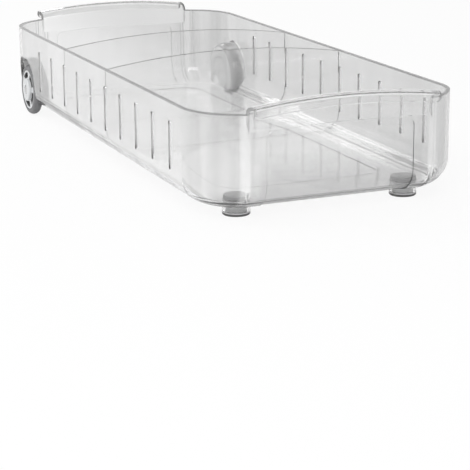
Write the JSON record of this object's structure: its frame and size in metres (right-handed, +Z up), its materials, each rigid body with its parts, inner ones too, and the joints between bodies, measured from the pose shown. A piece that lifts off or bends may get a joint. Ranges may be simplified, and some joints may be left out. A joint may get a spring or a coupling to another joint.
{
  "type": "fridge drawer organizer",
  "caption": "Long clear tray that rolls on rear wheels and rests on front pads, with curled end lips and arched dividers in side slots.",
  "frame": {"origin": "on the ground under the middle of the object's bounding box", "axes": "+Z up, +Y towards the rear end with the wheels, +X to the right seen from the front"},
  "size_m": [0.167, 0.4088, 0.0717],
  "materials": {
    "clear_tray": "clear glossy moulded plastic",
    "clear_divider": "clear glossy moulded plastic",
    "wheel_plastic": "light grey moulded plastic, satin",
    "tyre_rubber": "dark grey soft rubber, dull",
    "pin_steel": "plain steel pin head",
    "pad_rubber": "grey rubber, dull"
  },
  "bodies": {
    "tray": {"tray": "clear_tray", "axle_pin_left": "pin_steel", "axle_pin_right": "pin_steel", "foot_pad_left": "pad_rubber", "foot_pad_right": "pad_rubber"},
    "wheel_left": {"wheel_left": "wheel_plastic", "tyre_left": "tyre_rubber"},
    "wheel_right": {"wheel_right": "wheel_plastic", "tyre_right": "tyre_rubber"},
    "divider_rear": {"divider_rear": "clear_divider"},
    "divider_front": {"divider_front": "clear_divider"}
  },
  "joints": [
    {"name": "wheel_left_spin", "type": "hinge", "parent": "tray", "child": "wheel_left", "pos_m": [-0.0785, 0.1538, 0.018], "axis": [1, 0, 0], "continuous": true},
    {"name": "wheel_right_spin", "type": "hinge", "parent": "tray", "child": "wheel_right", "pos_m": [0.0785, 0.1538, 0.018], "axis": [1, 0, 0], "continuous": true},
    {"name": "divider_rear_lift", "type": "slide", "parent": "tray", "child": "divider_rear", "axis": [0, 0, 1], "range_m": [0, 0.003]},
    {"name": "divider_front_lift", "type": "slide", "parent": "tray", "child": "divider_front", "axis": [0, 0, 1], "range_m": [0, 0.003]}
  ]
}
